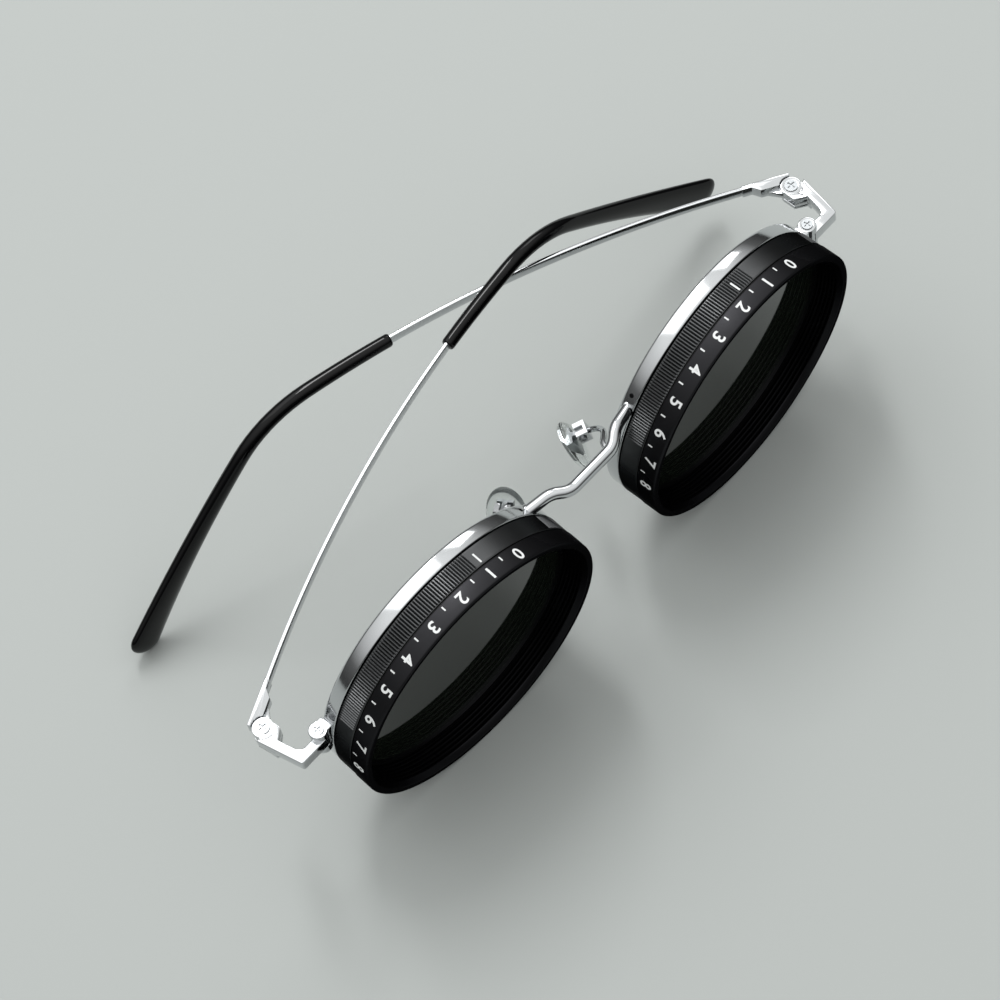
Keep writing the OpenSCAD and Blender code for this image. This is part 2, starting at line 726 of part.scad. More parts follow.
stand() side(-1) hinge_screw();  // right_hinge_screw
stand() side(1) hinge_screw();  // left_hinge_screw
stand() side(-1) temple(right_fold, right_rise);  // right_temple
stand() side(1) temple(left_fold, left_rise);  // left_temple
stand() side(-1) ear_tip(right_fold, right_rise);  // right_ear_tip
stand() side(1) ear_tip(left_fold, left_rise);  // left_ear_tip
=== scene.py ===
"""Adjustable tint sunglasses: a round chrome frame with two pairs of polarising filter rings."""
import json
import math
import bmesh
import bpy
from mathutils import Matrix, Vector


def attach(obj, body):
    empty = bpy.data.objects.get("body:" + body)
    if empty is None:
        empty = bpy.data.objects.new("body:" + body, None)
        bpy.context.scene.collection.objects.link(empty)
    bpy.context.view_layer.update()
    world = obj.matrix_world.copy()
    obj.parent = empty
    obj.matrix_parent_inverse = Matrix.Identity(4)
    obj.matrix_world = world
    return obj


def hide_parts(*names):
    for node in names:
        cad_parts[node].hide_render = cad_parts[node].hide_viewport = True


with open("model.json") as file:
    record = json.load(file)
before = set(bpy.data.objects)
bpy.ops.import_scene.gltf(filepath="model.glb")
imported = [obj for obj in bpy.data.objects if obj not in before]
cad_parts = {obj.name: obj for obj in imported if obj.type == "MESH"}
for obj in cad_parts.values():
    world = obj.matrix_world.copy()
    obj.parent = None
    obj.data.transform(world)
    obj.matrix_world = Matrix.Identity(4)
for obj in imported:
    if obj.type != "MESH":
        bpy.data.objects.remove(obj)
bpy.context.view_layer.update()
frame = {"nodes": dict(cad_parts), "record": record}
SCENE = bpy.context.scene
SCENE.view_settings.view_transform = "Standard"

# Sizes in millimetres, as in the part's source. Pieces are laid out in the hinge frame:
# +X to the wearer's left, the lenses face -Y, +Z along the hinge pins.
LENS_OFFSET, LENS_WRAP, LENS_TILT, STAND_TILT = 34.1, 2.2, 4.7, 1.1
RING_R, FRONT_RING_T, EDGE_ROUND = 26.5, 3.6, 0.4
THREAD_R, LEAD_IN, THREAD_LEN, THREAD_PITCH = 24.5, 0.9, 3.8, 0.75
GROOVE_DEPTH, GROOVE_HALF = 0.38, 0.25
FRONT_GLASS_R, REAR_GLASS_R, RIM_BORE_R = 24.15, 23.75, 24.2
REAR_RING_R, REAR_RING_H, REAR_RING_BACK = 26.4, -3.85, -7.6
NECK_R, NECK_END, SOCKET_R = 25.55, -7.15, 25.6
RIM_R, RIM_H, RIM_W, SIGHT_R, SIGHT_TURN = 26.3, -7.9, 2.8, 0.42, 140
LOCK_X, LOCK_Y, LOCK_R, LOCK_LOW, LOCK_TOP = 61.05, 10.0, 1.6, 2.6, 8.4
SPLIT_Z, SPLIT_W = 4.5, 0.2
BAR_T, BAR_H, BAR_Z, CORNER_X, CORNER_Y = 1.8, 2.4, 5.9, 66.7, 8.3
HINGE = Vector((66.15, 18.0, 5.3))
BAR_END = HINGE.y - 0.95
EYE_R, TONGUE_T, FORK_T, BUTT_OUT = 1.85, 1.3, 0.9, 2.5
FOLD = {"right": 24.0, "left": 32.6}
RISE = {"right": 3.7, "left": 1.2}
BOW_START, BOW_R, BAND_T, BAND_H, BAND_Z = 8.0, 235.0, 0.7, 2.0, 0.65
TEMPLE_LEN, TIP_START, HOOK_START, HOOK_R, HOOK_ANGLE = 150.5, 74.7, 91.8, 22.0, 43.0
TIP_H, PADDLE_H, TIP_T = 2.6, 8.0, 2.6
BRIDGE_R, BRIDGE_HALF, BRIDGE_Y, BRIDGE_Z = 1.1, 5.4, 4.1, 15.3
PAD = Vector((8.6, 18.5, -4.8))
PAD_LEN, PAD_W, PAD_T, PAD_SPLAY, PAD_FLARE, PAD_DROP, ARM_R = 13.5, 7.4, 2.6, 30.0, 15.0, 3.0, 0.55
SIDES = {"right": -1, "left": 1}


def turn(degrees, axis):
    """Rotation matrix about one axis, in degrees."""
    return Matrix.Rotation(math.radians(degrees), 4, axis)


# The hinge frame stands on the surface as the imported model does, so its place is read
# back from the left fold joint's pin.
PIN = next(j for j in frame["record"]["behaviour"]["joints"] if j["name"] == "left_temple_fold")
STAND_SHIFT = Vector(PIN["pos_m"]) * 1000 - turn(STAND_TILT, "X") @ HINGE
STAND = Matrix.Scale(0.001, 4) @ Matrix.Translation(STAND_SHIFT) @ turn(STAND_TILT, "X")
MIRROR = {"left": Matrix.Identity(4), "right": Matrix.Scale(-1, 4, (1, 0, 0))}


def lens_place(side):
    """Lens frame of a side: the lens axis is +Z, forward, and +X points to the wearer's left."""
    s = SIDES[side]
    return (STAND @ turn(LENS_TILT, "X") @ Matrix.Translation((s * LENS_OFFSET, 0, 0))
            @ turn(s * LENS_WRAP, "Z") @ turn(90, "X"))


def hinge_place(side):
    """Temple frame of a side: +X along the folded temple from the pin, +Y outboard."""
    return (STAND @ MIRROR[side] @ Matrix.Translation(HINGE) @ Matrix.Scale(-1, 4, (1, 0, 0))
            @ turn(FOLD[side], "Z"))


def pad_place(side):
    """Nose pad frame of a side: +Z towards the nose and +Y up."""
    return (STAND @ MIRROR[side] @ Matrix.Translation(PAD) @ turn(90 - PAD_SPLAY, "Z")
            @ turn(90, "X") @ turn(180, "Y") @ Matrix.Scale(-1, 4, (1, 0, 0))
            @ turn(PAD_FLARE, "X"))


# Materials

def linear(hex_colour):
    """sRGB hex to a linear RGBA colour."""
    channels = [int(hex_colour[i:i + 2], 16) / 255 for i in (1, 3, 5)]
    return [c / 12.92 if c <= 0.04045 else ((c + 0.055) / 1.055) ** 2.4 for c in channels] + [1]


def node(tree, kind, settings=(), inputs=(), links=()):
    """Adds a node with its settings, socket values and links from other nodes' sockets."""
    made = tree.nodes.new(kind)
    for key, value in dict(settings).items():
        setattr(made, key, value)
    for key, value in dict(inputs).items():
        made.inputs[key].default_value = value
    for key, source in dict(links).items():
        tree.links.new(source, made.inputs[key])
    return made


def finish(name, **sockets):
    """A material with one Principled shader, its sockets set by name; also its tree and shader."""
    material = bpy.data.materials.new(name)
    material.use_nodes = True
    shader = material.node_tree.nodes["Principled BSDF"]
    for key, value in sockets.items():
        shader.inputs[key.replace("_", " ")].default_value = value
    return material, material.node_tree, shader


def noise(tree, millimetres, detail=2.0):
    """Noise on Object coordinates whose grains are about that many millimetres."""
    place = node(tree, "ShaderNodeTexCoord")
    return node(tree, "ShaderNodeTexNoise",
                inputs={"Scale": 1000 / millimetres, "Detail": detail, "Roughness": 0.5},
                links={"Vector": place.outputs["Object"]})


def ramp(tree, source, low, high):
    """Maps a 0 to 1 value onto the range from low to high."""
    return node(tree, "ShaderNodeMapRange", inputs={"To Min": low, "To Max": high},
                links={"Value": source})


def bump(tree, shader, source, depth_mm):
    """Feeds a height into the shader's normal; the depth is in millimetres."""
    made = node(tree, "ShaderNodeBump", inputs={"Strength": 1.0, "Distance": depth_mm / 1000},
                links={"Height": source})
    tree.links.new(made.outputs["Normal"], shader.inputs["Normal"])


def make_finishes():
    """All the finishes, by the name of the material slot or the detail that takes them."""
    made = {}
    # Polished chromium plate on nickel silver: a mirror with faint polishing haze.
    material, tree, shader = finish("polished chromium plate", Base_Color=linear("#c8cacc"),
                                    Metallic=1.0, Roughness=0.1)
    haze = ramp(tree, noise(tree, 4.0).outputs["Fac"], 0.06, 0.16)
    tree.links.new(haze.outputs["Result"], shader.inputs["Roughness"])
    made["frame_metal"] = material
    # Stainless screw steel: a little darker and duller than the plated frame round it.
    made["screw_steel"] = made["spring_steel"] = finish(
        "turned stainless steel", Base_Color=linear("#9b9ea0"), Metallic=1.0, Roughness=0.34)[0]
    # Black anodised aluminium: a near black oxide with a satin sheen and a faint grain.
    material, tree, shader = finish("black anodised aluminium", Base_Color=linear("#2e2e30"),
                                    Metallic=1.0, Specular_Tint=linear("#4a4a4a"))
    grain = noise(tree, 0.35, detail=3.0)
    satin = ramp(tree, grain.outputs["Fac"], 0.36, 0.5)
    tree.links.new(satin.outputs["Result"], shader.inputs["Roughness"])
    bump(tree, shader, grain.outputs["Fac"], 0.004)
    made["ring_black"] = material
    # The same oxide, smoother and with a lighter base so that the rear ring shows a soft grey
    # sheen: the gloss is real, the extra lightness is a painted sheen.
    material, tree, shader = finish("black anodised aluminium with painted sheen",
                                    Base_Color=linear("#4c4d4e"), Metallic=1.0,
                                    Specular_Tint=linear("#303030"))
    gloss_roughness = ramp(tree, noise(tree, 6.0, detail=3.0).outputs["Fac"], 0.24, 0.38)
    tree.links.new(gloss_roughness.outputs["Result"], shader.inputs["Roughness"])
    made["knurl_black"] = material
    # Black oxide inside the rings, darker than outside: painted shade inside the rings' mouths.
    made["ring_inner"] = finish(
        "black anodised aluminium darkened with painted shade", Base_Color=linear("#242426"), Metallic=1.0,
        Roughness=0.35, Specular_Tint=linear("#303030"))[0]
    # PTFE filled slip washer: dull dark grey.
    made["glide_plastic"] = finish(
        "filled slip washer plastic", Base_Color=linear("#111112"), Roughness=0.6)[0]
    # Crossed polarising film between glass: nearly black green with a coated, mirror-like face.
    made["tint_glass"] = finish(
        "coated dark polarising glass", Base_Color=linear("#151914"), Roughness=0.04,
        Specular_IOR_Level=0.36, Coat_Weight=0.2, Coat_Roughness=0.02)[0]
    # Clear moulded silicone: colourless, with a soft gloss; it bends light only a little.
    made["pad_silicone"] = finish(
        "clear moulded silicone", Base_Color=linear("#f4f7f6"), Roughness=0.06, IOR=1.25,
        Transmission_Weight=1.0, Specular_IOR_Level=0.9)[0]
    # Cellulose acetate dyed black and tumble polished: wet-looking gloss.
    material, tree, shader = finish("polished black acetate", Base_Color=linear("#040405"),
                                    Roughness=0.07, Specular_IOR_Level=0.24)
    bump(tree, shader, noise(tree, 14.0, detail=1.0).outputs["Fac"], 0.02)
    made["tip_acetate"] = material
    # White marking enamel filled into engraved marks: flat, slightly soft white.
    made["mark"] = finish("white marking enamel", Base_Color=linear("#e4e6e6"), Roughness=0.5)[0]
    return made


FINISH = make_finishes()


# Making pieces

def add_piece(name, bm, place, finish_name, body, replaced=(), sharp=38):
    """Moves a finished bmesh into place and hands it over as a piece that rides on a body.

    Finishes are joined by a plus sign, and edges sharper than that many degrees stay crisp.
    """
    bmesh.ops.remove_doubles(bm, verts=bm.verts, dist=1e-4)
    bmesh.ops.transform(bm, matrix=place, verts=bm.verts)
    bmesh.ops.recalc_face_normals(bm, faces=bm.faces)
    mesh = bpy.data.meshes.new(name)
    bm.to_mesh(mesh)
    bm.free()
    mesh.polygons.foreach_set("use_smooth", [True] * len(mesh.polygons))
    mesh.set_sharp_from_angle(angle=math.radians(sharp))
    for each in finish_name.split("+"):
        mesh.materials.append(FINISH[each])
    piece = bpy.data.objects.new(name, mesh)
    SCENE.collection.objects.link(piece)
    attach(piece, body)
    if replaced:
        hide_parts(*replaced)
    return piece


def bevel(bm, edges, width, segments=2):
    """Rounds those edges by a width in millimetres."""
    bmesh.ops.bevel(bm, geom=edges, offset=width, offset_type="OFFSET", segments=segments,
                    profile=0.5, affect="EDGES", clamp_overlap=True, material=-1)


def profile_wire(bm, outline, rounding):
    """Draws a closed outline of (r, h) points and rounds the corners given by index."""
    verts = [bm.verts.new((r, 0, h)) for r, h in outline]
    bm.faces.new(verts)
    for width in sorted(set(rounding.values())):
        corners = [verts[i] for i, w in rounding.items() if w == width]
        bmesh.ops.bevel(bm, geom=corners, offset=width, offset_type="OFFSET", segments=4,
                        profile=0.5, affect="VERTICES", clamp_overlap=True, material=-1)
    bmesh.ops.delete(bm, geom=bm.faces[:], context="FACES_ONLY")


def turned(outline, rounding, steps, start=0.0, angle=360.0):
    """A turned ring: the outline spun about the Z axis, closed or with capped ends."""
    bm = bmesh.new()
    profile_wire(bm, outline, rounding)
    bmesh.ops.rotate(bm, matrix=turn(start, "Z").to_3x3(), verts=bm.verts)
    full = angle == 360.0
    if not full:
        cap = bmesh.ops.contextual_create(bm, geom=bm.edges[:])["faces"]
        copy = bmesh.ops.duplicate(bm, geom=bm.verts[:] + bm.edges[:] + cap)["geom"]
        far = [g for g in copy if isinstance(g, bmesh.types.BMVert)]
        near_edges = [e for e in bm.edges if not any(v in set(far) for v in e.verts)]
        near_verts = [v for v in bm.verts if v not in set(far)]
        bmesh.ops.rotate(bm, matrix=turn(angle, "Z").to_3x3(), verts=far)
    else:
        near_edges, near_verts = bm.edges[:], bm.verts[:]
    bmesh.ops.spin(bm, geom=near_verts + near_edges, cent=(0, 0, 0), axis=(0, 0, 1),
                   angle=math.radians(angle), steps=steps, use_merge=full, use_duplicate=False)
    bmesh.ops.remove_doubles(bm, verts=bm.verts, dist=1e-4)
    return bm


def swept(stations, sides):
    """A closed bar: a unit circle placed by each station's matrix in turn and skinned."""
    bm = bmesh.new()
    bmesh.ops.create_circle(bm, cap_ends=True, radius=1, segments=sides)
    bmesh.ops.transform(bm, matrix=stations[0], verts=bm.verts)
    edges = bm.edges[:]
    for before, after in zip(stations, stations[1:]):
        made = bmesh.ops.extrude_edge_only(bm, edges=edges)["geom"]
        verts = [g for g in made if isinstance(g, bmesh.types.BMVert)]
        moved = set(verts)
        edges = [g for g in made if isinstance(g, bmesh.types.BMEdge)
                 and all(v in moved for v in g.verts)]
        bmesh.ops.transform(bm, matrix=after @ before.inverted(), verts=verts)
    bmesh.ops.edgeloop_fill(bm, edges=edges)
    return bm


def station(middle, along, up, half_width, half_height):
    """Places a unit circle square to a direction, with its Y towards up."""
    z = along.normalized()
    x = up.cross(z).normalized()
    y = z.cross(x)
    spin = Matrix((x, y, z)).transposed().to_4x4()
    size = Matrix.Diagonal((half_width, half_height, 1, 1))
    return Matrix.Translation(middle) @ spin @ size


def rounded_path(points, radius, per_bend=6):
    """Points along a bent wire: each inner corner is eased by a short curve."""
    path = [points[0]]
    for a, b, c in zip(points, points[1:], points[2:]):
        before, after = (a - b), (c - b)
        ease = min(radius, before.length * 0.48, after.length * 0.48)
        start, end = b + before.normalized() * ease, b + after.normalized() * ease
        for i in range(per_bend + 1):
            t = i / per_bend
            path.append(start * (1 - t) ** 2 + b * 2 * t * (1 - t) + end * t ** 2)
    return path + [points[-1]]


def wire_stations(path, radius):
    """Stations for a round wire along a path, its section carried without twist."""
    made, up = [], Vector((0, 0, 1))
    for i, middle in enumerate(path):
        along = (path[min(i + 1, len(path) - 1)] - path[max(i - 1, 0)]).normalized()
        up = (up - along * up.dot(along)).normalized()
        made.append(station(middle, along, up, radius, radius))
    return made


def plate(outline, bottom, top, round_width=0.15, segments=2):
    """A flat bar cut to an outline of (x, y) points, with its edges eased."""
    bm = bmesh.new()
    face = bm.faces.new([bm.verts.new((x, y, bottom)) for x, y in outline])
    made = bmesh.ops.extrude_face_region(bm, geom=[face])["geom"]
    verts = [g for g in made if isinstance(g, bmesh.types.BMVert)]
    bmesh.ops.translate(bm, vec=(0, 0, top - bottom), verts=verts)
    bevel(bm, bm.edges[:], round_width, segments)
    return bm


def barrel(x, y, bottom, top, radius, round_width=0.15, segments=40):
    """An upright round barrel with eased rims."""
    bm = bmesh.new()
    bmesh.ops.create_cone(bm, cap_ends=True, segments=segments, radius1=radius, radius2=radius,
                          depth=top - bottom)
    rims = [e for e in bm.edges if abs(e.verts[0].co.z - e.verts[1].co.z) < 1e-6]
    bevel(bm, rims, round_width)
    bmesh.ops.translate(bm, vec=(x, y, (top + bottom) / 2), verts=bm.verts)
    return bm


def eye(x, y, bottom, top, radius, head, depth, round_width=0.1):
    """An upright barrel with a bore and a flat-bottomed recess for a screw head."""
    bm = turned([(radius, bottom), (radius, top), (head, top), (head, top - depth),
                 (head / 2, top - depth), (head / 2, bottom)],
                {0: round_width, 1: round_width, 2: 0.04}, steps=56)
    bmesh.ops.translate(bm, vec=(x, y, 0), verts=bm.verts)
    return bm


def joined(*parts):
    """One bmesh out of several, which are used up."""
    whole = bmesh.new()
    for part in parts:
        mesh = bpy.data.meshes.new("part")
        part.to_mesh(mesh)
        part.free()
        whole.from_mesh(mesh)
        bpy.data.meshes.remove(mesh)
    return whole


# Filter rings

# The ring has a column of points at each step, and on the arcs every third one is a valley
KNURL_STEPS, KNURL_DEPTH, KNURL_LAND = 906, 0.24, 0.42
KNURL_ARCS = ((78, 156), (198, 276), (318, 396))
RING_EASE = 0.12


def in_knurl(angle):
    """Whether an angle about the lens axis lies on one of the knurled arcs."""
    return any(low <= angle < high or low <= angle + 360 < high for low, high in KNURL_ARCS)


def add_rear_ring(side):
    """Rear ring: a straight knurl of about 0.55 mm pitch on three arcs of its outer wall."""
    front, back, r = REAR_RING_H, REAR_RING_BACK, REAR_RING_R
    sleeve_r, sleeve_end, sill_r = RIM_BORE_R - 0.05, REAR_RING_BACK - 2.8, 23.0
    pocket_r, seat, floor = REAR_GLASS_R + 0.02, -9.15, -7.3
    outline = [(SOCKET_R, front), (r, front), (r, front - KNURL_LAND), (r, back + KNURL_LAND),
               (r, back), (sleeve_r, back), (sleeve_r, sleeve_end), (sill_r, sleeve_end),
               (sill_r, seat), (pocket_r, seat), (pocket_r, floor), (SOCKET_R, floor)]
    bm = turned(outline, {1: RING_EASE, 4: RING_EASE}, steps=KNURL_STEPS)
    pitch, land = 360 / KNURL_STEPS, KNURL_LAND - 0.02
    valleys = []
    for v in bm.verts:
        if math.hypot(v.co.x, v.co.y) < r - 0.02 or not back + land < v.co.z < front - land:
            continue
        angle = math.degrees(math.atan2(v.co.y, v.co.x)) % 360
        if round(angle / pitch) % 3 == 2 and in_knurl(angle):
            valleys.append(v)
    share = (r - KNURL_DEPTH) / r
    bmesh.ops.scale(bm, vec=(share, share, 1), verts=valleys)
    # The whole rear ring takes the lighter oxide, whose extra lightness is a painted sheen
    add_piece(f"{side}_knurled_ring", bm, lens_place(side), "knurl_black", "front_frame",
              [f"{side}_rear_ring"], sharp=24)


def add_front_ring(side):
    """Front ring: a rounded front edge, a lead-in and the grooves of the accessory thread."""
    mouth_r, thread_end = THREAD_R + LEAD_IN - 0.1, -LEAD_IN - THREAD_LEN
    pocket_r, sill_r, seat = FRONT_GLASS_R + 0.05, 23.4, -6.65
    outline = [(RING_R, -FRONT_RING_T), (RING_R, 0), (mouth_r, 0), (THREAD_R, -LEAD_IN)]
    for i in range(int(THREAD_LEN / THREAD_PITCH)):
        lip = -LEAD_IN - 0.22 - i * THREAD_PITCH
        outline += [(THREAD_R, lip), (THREAD_R + GROOVE_DEPTH, lip - GROOVE_HALF),
                    (THREAD_R, lip - 2 * GROOVE_HALF)]
    outline += [(THREAD_R, thread_end), (pocket_r, thread_end), (pocket_r, seat), (sill_r, seat),
                (sill_r, NECK_END), (NECK_R, NECK_END), (NECK_R, -FRONT_RING_T)]
    bm = turned(outline, {0: RING_EASE, 1: EDGE_ROUND, 2: 0.15, 3: 0.1}, steps=256)
    # Faces inside the mouth take the darker, duller inner finish: painted shade
    for face in bm.faces:
        middle = face.calc_center_median()
        if math.hypot(middle.x, middle.y) < mouth_r - 0.15:
            face.material_index = 1
    add_piece(f"{side}_front_dial_ring", bm, lens_place(side), "ring_black+ring_inner",
              f"{side}_filter", [f"{side}_front_ring"], sharp=30)


DIAL_FIRST, DIAL_STEP, DIAL_COUNT = 62.0, 14.0, 9
INDEX_ANGLE = {"right": 75, "left": 85}
# The font's numerals are 0.7 of its size high, and their strokes are fattened a little
ENAMEL_T, FONT_SHARE, FONT_BOLD = 0.04, 0.7, 0.026
NUMERAL_H, NUMERAL_MIDDLE = 2.2, -1.95


def stroke(length, width, angle, radius, h_low):
    """A thin enamel line on the ring's wall, from h_low towards the front, at an angle."""
    bm = bmesh.new()
    bmesh.ops.create_cube(bm, size=1)
    bmesh.ops.scale(bm, vec=(ENAMEL_T, width, length), verts=bm.verts)
    bmesh.ops.translate(bm, vec=(radius, 0, h_low + length / 2), verts=bm.verts)
    bmesh.ops.rotate(bm, matrix=turn(angle, "Z").to_3x3(), verts=bm.verts)
    return bm


def numeral(text, height, angle, radius, h_middle):
    """A plain numeral as thin enamel on the ring's wall, its top towards the front."""
    curve = bpy.data.curves.new("numeral", "FONT")
    curve.body, curve.size = text, height / FONT_SHARE
    curve.align_x, curve.align_y = "CENTER", "CENTER"
    curve.extrude, curve.offset = 0.015, height * FONT_BOLD
    curve.resolution_u = 6
    letter = bpy.data.objects.new("numeral", curve)
    SCENE.collection.objects.link(letter)
    bpy.context.view_layer.update()
    mesh = bpy.data.meshes.new_from_object(
        letter.evaluated_get(bpy.context.evaluated_depsgraph_get()))
    bm = bmesh.new()
    bm.from_mesh(mesh)
    bpy.data.objects.remove(letter)
    bpy.data.curves.remove(curve)
    bpy.data.meshes.remove(mesh)
    bmesh.ops.transform(bm, matrix=turn(angle, "Z") @ Matrix.Translation((radius, 0, h_middle))
                        @ turn(90, "Z") @ turn(90, "X"), verts=bm.verts)
    return bm


def add_marks(side):
    """White index line on the rear ring and a plain numbered scale on the front ring."""
    index = stroke(2.0, 0.34, INDEX_ANGLE[side], REAR_RING_R, REAR_RING_H - 2.5)
    add_piece(f"{side}_index_line", index, lens_place(side), "mark", "front_frame")
    parts = []
    for i in range(DIAL_COUNT):
        angle = DIAL_FIRST + i * DIAL_STEP
        parts.append(numeral(str(i), NUMERAL_H, angle, RING_R, NUMERAL_MIDDLE))
        if i + 1 < DIAL_COUNT:
            parts.append(stroke(0.9, 0.26, angle + DIAL_STEP / 2, RING_R, -3.2))
    add_piece(f"{side}_dial_numbers", joined(*parts), lens_place(side), "mark",
              f"{side}_filter")


# Frame

def add_rim(side):
    """Chrome rim: a turned band with rounded edges, split at the rim lock."""
    back, wall_r = RIM_H - RIM_W, 25.4
    outline = [(RIM_R, RIM_H), (RIM_R, back), (RIM_BORE_R, back), (RIM_BORE_R, RIM_H)]
    split = math.degrees(math.asin((SPLIT_Z + SPLIT_W / 2) / wall_r))
    start = split if side == "left" else 180 - split
    gap = math.degrees(SPLIT_W / wall_r)
    bm = turned(outline, {0: 0.3, 1: 0.55, 2: 0.3, 3: 0.1}, steps=220,
                start=start + gap / 2, angle=360 - gap)
    add_piece(f"{side}_chrome_rim", bm, lens_place(side), "frame_metal", "front_frame",
              [f"{side}_rim"])


def add_sight_hole(side):
    """Small drilled hole in the rim, through which the thread can be seen: a flat disc of the
    darker inner black, partly the black metal behind it and partly the hole's painted shade.
    """
    angle = SIGHT_TURN if side == "left" else 180 - SIGHT_TURN
    sunk, proud, ease = 0.02, 0.012, 0.004
    bm = barrel(0, 0, -sunk, proud, SIGHT_R, ease, 24)
    bmesh.ops.transform(bm, matrix=turn(angle, "Z") @ Matrix.Translation(
        (RIM_R, 0, RIM_H - RIM_W / 2)) @ turn(90, "Y"), verts=bm.verts)
    add_piece(f"{side}_sight_hole", bm, lens_place(side), "ring_inner", "front_frame")


def add_lock(side):
    """Rim lock: two half barrels that the vertical screw draws together."""
    upper, head = SPLIT_Z + SPLIT_W, LOCK_R * 0.62 + 0.05
    # Each half has a foot to the rim: its bottom, top, reach inboard and half width
    feet = [plate([(LOCK_X - reach, LOCK_Y - foot), (LOCK_X - head, LOCK_Y - foot),
                   (LOCK_X - head, LOCK_Y + foot), (LOCK_X - reach, LOCK_Y + foot)],
                  bottom, top, 0.1)
            for bottom, top, reach, foot in ((LOCK_LOW, SPLIT_Z, 1.6, 0.88),
                                             (upper, LOCK_TOP - 0.02, 2.1, 1.25))]
    bm = joined(barrel(LOCK_X, LOCK_Y, LOCK_LOW, SPLIT_Z, LOCK_R),
                eye(LOCK_X, LOCK_Y, upper, LOCK_TOP, LOCK_R, head, 0.3, 0.16), *feet)
    add_piece(f"{side}_lock_barrels", bm, STAND @ MIRROR[side], "frame_metal", "front_frame",
              [f"{side}_rim_lock"])


def bar_face(y, inset=0.0):
    """A point on the bar's outer face at a distance y behind the lenses, or set in from it."""
    splay = (HINGE.x + BUTT_OUT - 0.1 - CORNER_X) / (BAR_END - CORNER_Y)
    slant = 1.02
    return CORNER_X + (y - CORNER_Y) * splay - inset * slant, y


def add_endpiece(side):
    """Endpiece: a flat bar from the rim lock, round the corner and back to the hinge fork."""
    back, flare = CORNER_Y + BAR_T, HINGE.y - 3.6
    bend = bar_face(back, BAR_T)[0]
    # The bar's end is hollowed by an arc of 2.1 mm round the pin, where the butt's corner turns
    hollow = [(HINGE.x + x, HINGE.y + y) for x, y in (
        (1.88, -0.95), (1.6, -1.37), (1.2, -1.73), (0.7, -1.98), (0.1, -2.1), (-0.55, -2.03))]
    bar = plate([(LOCK_X, CORNER_Y), (CORNER_X - 0.25, CORNER_Y),
                 (CORNER_X + 0.05, CORNER_Y + 0.25), bar_face(BAR_END), *hollow,
                 bar_face(flare, BAR_T), bar_face(back + 0.9, BAR_T), (bend - 0.25, back + 0.25),
                 (bend - 0.9, back), (LOCK_X, back)],
                BAR_Z - BAR_H / 2, BAR_Z + BAR_H / 2, 0.16, 3)
    fork = TONGUE_T / 2 + 0.05
    plates = [eye(HINGE.x, HINGE.y, HINGE.z + fork, HINGE.z + fork + FORK_T, EYE_R, 1.25, 0.35),
              barrel(HINGE.x, HINGE.y, HINGE.z - fork - FORK_T, HINGE.z - fork, EYE_R, 0.12)]
    # The fork's plates end inside the eyes, on an arc of 1.55 mm round the pin
    inside = [(HINGE.x + 1.55 * math.cos(a), HINGE.y + 1.55 * math.sin(a))
              for a in [math.radians(-15 - 30 * i) for i in range(6)]]
    for low, high in ((-fork - FORK_T, -fork), (fork, fork + FORK_T)):
        plates.append(plate([(HINGE.x - EYE_R + 0.02, HINGE.y - 0.3),
                             (HINGE.x - EYE_R, HINGE.y - 2.2),
                             bar_face(flare, BAR_T), bar_face(flare - 0.8, BAR_T),
                             bar_face(flare - 0.8), bar_face(BAR_END - 0.2, 0.5), *inside],
                            HINGE.z + low + 0.02, HINGE.z + high - 0.02, 0.08))
    # Solid root between the two fork plates, ahead of the slot
    plates.append(plate([(HINGE.x - EYE_R, HINGE.y - 2.2), bar_face(flare, BAR_T),
                         bar_face(flare - 0.8, BAR_T), bar_face(flare - 0.8),
                         bar_face(flare + 1.4)],
                        HINGE.z - fork - 0.1, HINGE.z + fork + 0.1, 0.05))
    add_piece(f"{side}_corner_bar", joined(bar, *plates), STAND @ MIRROR[side], "frame_metal",
              "front_frame", [f"{side}_endpiece"])


def add_bridge():
    """Bridge: a round bar with a straight middle, two knees and ends soldered to the rims."""
    middle = Vector((BRIDGE_HALF, BRIDGE_Y, BRIDGE_Z))
    knee, seat = middle + Vector((2.4, 1.8, 0.9)), middle + Vector((8.2, 3.3, -0.3))
    half = [seat, knee, middle]
    points = half + [Vector((-p.x, p.y, p.z)) for p in reversed(half)]
    bar = swept(wire_stations(rounded_path(points, 1.6), BRIDGE_R), 24)
    # Rounded fillets of solder where the ends meet the rims
    beads = []
    for s in SIDES.values():
        bead = bmesh.new()
        bmesh.ops.create_uvsphere(bead, u_segments=24, v_segments=14, radius=1.35)
        bmesh.ops.scale(bead, vec=(1.25, 0.85, 1), verts=bead.verts)
        bmesh.ops.translate(bead, vec=(s * (seat.x - 0.9), seat.y, seat.z), verts=bead.verts)
        beads.append(bead)
    add_piece("bridge_bar", joined(bar, *beads), STAND, "frame_metal", "front_frame",
              ["bridge"])


# Nose pads

def add_pad(side):
    """Clear silicone pad: an oval cushion with a crowned face."""
    bm = bmesh.new()
    bmesh.ops.create_uvsphere(bm, u_segments=40, v_segments=20, radius=1)
    # Moves the points outwards, so that the faces flatten and the rim stays full
    for v in bm.verts:
        flat = math.hypot(v.co.x, v.co.y)
        if flat > 1e-6:
            swell = flat ** 0.55 / flat
            v.co.x, v.co.y = v.co.x * swell, v.co.y * swell
    bmesh.ops.scale(bm, vec=(PAD_W / 2, PAD_LEN / 2, PAD_T / 2), verts=bm.verts)
    add_piece(f"{side}_clear_pad", bm, pad_place(side), "pad_silicone", f"{side}_pad",
              [f"{side}_nose_pad"])


